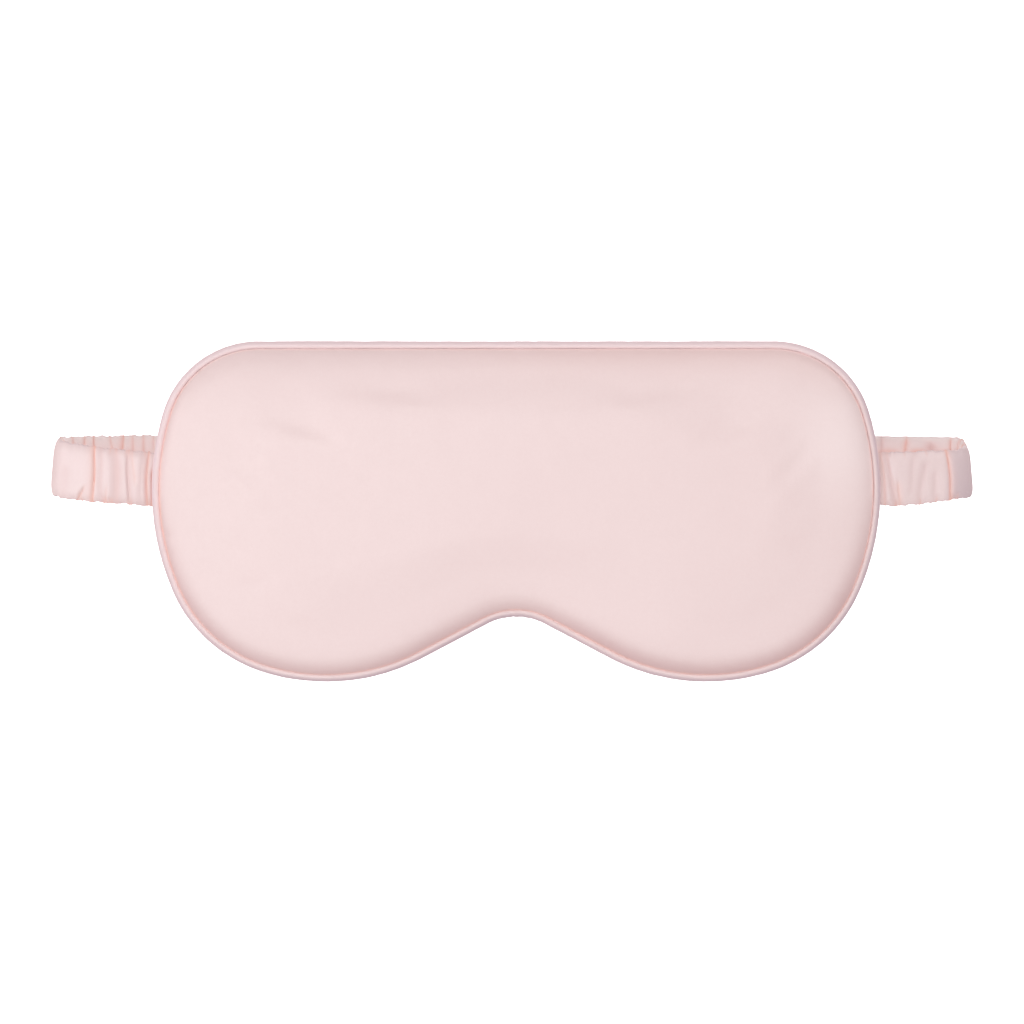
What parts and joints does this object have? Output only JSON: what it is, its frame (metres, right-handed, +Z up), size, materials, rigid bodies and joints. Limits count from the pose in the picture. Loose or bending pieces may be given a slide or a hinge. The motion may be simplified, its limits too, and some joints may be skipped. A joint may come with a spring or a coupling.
{
  "type": "sleep eye mask",
  "caption": "Padded satin sleep mask with corded piping, a nose arch and a ruched elastic strap that tilts, unfolds and stretches.",
  "frame": {"origin": "middle of the back panel's face side, where the mask rests on the face", "axes": "+Z up, -Y out of the front of the mask, +Y towards the wearer's face, +X to the right as the front is seen"},
  "size_m": [0.2684, 0.0398, 0.0991],
  "materials": {
    "face_satin": "soft satin",
    "back_satin": "soft satin",
    "piping_satin": "soft satin",
    "strap_satin": "soft satin, ruched",
    "thread": "polyester thread",
    "wadding": "fluffy",
    "liner": "matte knit",
    "cord": "twisted cotton",
    "elastic": "woven rib"
  },
  "bodies": {
    "mask": {"front_panel": "face_satin", "back_panel": "back_satin", "front_wadding": "wadding", "back_wadding": "wadding", "blackout_liner": "liner", "piping_casing": "piping_satin", "piping_cord": "cord", "seam_thread": "thread", "closing_stitches": "thread", "left_anchor_casing": "strap_satin", "left_anchor_elastic": "elastic", "left_bar_tack": "thread", "right_anchor_casing": "strap_satin", "right_anchor_elastic": "elastic", "right_bar_tack": "thread"},
    "left_end": {"left_end_casing": "strap_satin", "left_end_elastic": "elastic"},
    "left_side": {"left_side_casing": "strap_satin", "left_side_elastic": "elastic"},
    "left_fold_front": {"left_fold_front_casing": "strap_satin", "left_fold_elastic": "elastic"},
    "left_fold_rear": {"left_fold_rear_casing": "strap_satin"},
    "left_rear": {"left_rear_casing": "strap_satin", "left_rear_elastic": "elastic"},
    "left_centre": {"left_centre_casing": "strap_satin", "left_centre_elastic": "elastic"},
    "right_end": {"right_end_casing": "strap_satin", "right_end_elastic": "elastic"},
    "right_side": {"right_side_casing": "strap_satin", "right_side_elastic": "elastic"},
    "right_fold_front": {"right_fold_front_casing": "strap_satin", "right_fold_elastic": "elastic"},
    "right_fold_rear": {"right_fold_rear_casing": "strap_satin"},
    "right_rear": {"right_rear_casing": "strap_satin", "right_rear_elastic": "elastic"},
    "right_centre": {"right_centre_casing": "strap_satin", "right_centre_elastic": "elastic"}
  },
  "joints": [
    {"name": "strap_tilt", "type": "hinge", "parent": "mask", "child": "left_end", "pos_m": [-0.1056, -0.003, 0.0105], "axis": [1, 0, 0], "range_deg": [-30, 30]},
    {"name": "strap_open", "type": "hinge", "parent": "left_end", "child": "left_side", "pos_m": [-0.11, -0.003, 0.0105], "axis": [0, 0, -1], "range_deg": [0, 80]},
    {"name": "left_fold_front_turn", "type": "hinge", "parent": "left_side", "child": "left_fold_front", "pos_m": [-0.13265, 0.00099, 0.0105], "axis": [0, 0, -1], "range_deg": [-80, 0]},
    {"name": "strap_stretch", "type": "slide", "parent": "left_fold_front", "child": "left_fold_rear", "axis": [0, 1, 0], "range_m": [0, 0.06], "stiffness_N_per_m": 40, "deforming": ["left_fold_elastic"]},
    {"name": "left_fold_rear_turn", "type": "hinge", "parent": "left_fold_rear", "child": "left_rear", "pos_m": [-0.13265, 0.01899, 0.0105], "axis": [0, 0, -1], "range_deg": [-46, 0]},
    {"name": "left_centre_turn", "type": "hinge", "parent": "left_rear", "child": "left_centre", "pos_m": [-0.0731, 0.02631, 0.0105], "axis": [0, 0, -1], "range_deg": [0, 46]},
    {"name": "right_tilt", "type": "hinge", "parent": "mask", "child": "right_end", "pos_m": [0.1056, -0.003, 0.0105], "axis": [1, 0, 0], "range_deg": [-30, 30]},
    {"name": "right_open", "type": "hinge", "parent": "right_end", "child": "right_side", "pos_m": [0.11, -0.003, 0.0105], "axis": [0, 0, 1], "range_deg": [0, 80]},
    {"name": "right_fold_front_turn", "type": "hinge", "parent": "right_side", "child": "right_fold_front", "pos_m": [0.13265, 0.00099, 0.0105], "axis": [0, 0, 1], "range_deg": [-80, 0]},
    {"name": "right_stretch", "type": "slide", "parent": "right_fold_front", "child": "right_fold_rear", "axis": [0, 1, 0], "range_m": [0, 0.06], "stiffness_N_per_m": 40, "deforming": ["right_fold_elastic"]},
    {"name": "right_fold_rear_turn", "type": "hinge", "parent": "right_fold_rear", "child": "right_rear", "pos_m": [0.13265, 0.01899, 0.0105], "axis": [0, 0, 1], "range_deg": [-46, 0]},
    {"name": "right_centre_turn", "type": "hinge", "parent": "right_rear", "child": "right_centre", "pos_m": [0.0731, 0.02631, 0.0105], "axis": [0, 0, 1], "range_deg": [0, 46]}
  ],
  "couplings": [
    {"joint": "left_fold_front_turn", "follows": "strap_open", "ratio": -1},
    {"joint": "left_fold_rear_turn", "follows": "strap_open", "ratio": -0.57},
    {"joint": "left_centre_turn", "follows": "strap_open", "ratio": 0.57},
    {"joint": "right_tilt", "follows": "strap_tilt", "ratio": 1},
    {"joint": "right_open", "follows": "strap_open", "ratio": 1},
    {"joint": "right_stretch", "follows": "strap_stretch", "ratio": 1},
    {"joint": "right_fold_front_turn", "follows": "strap_open", "ratio": -1},
    {"joint": "right_fold_rear_turn", "follows": "strap_open", "ratio": -0.57},
    {"joint": "right_centre_turn", "follows": "strap_open", "ratio": 0.57}
  ]
}
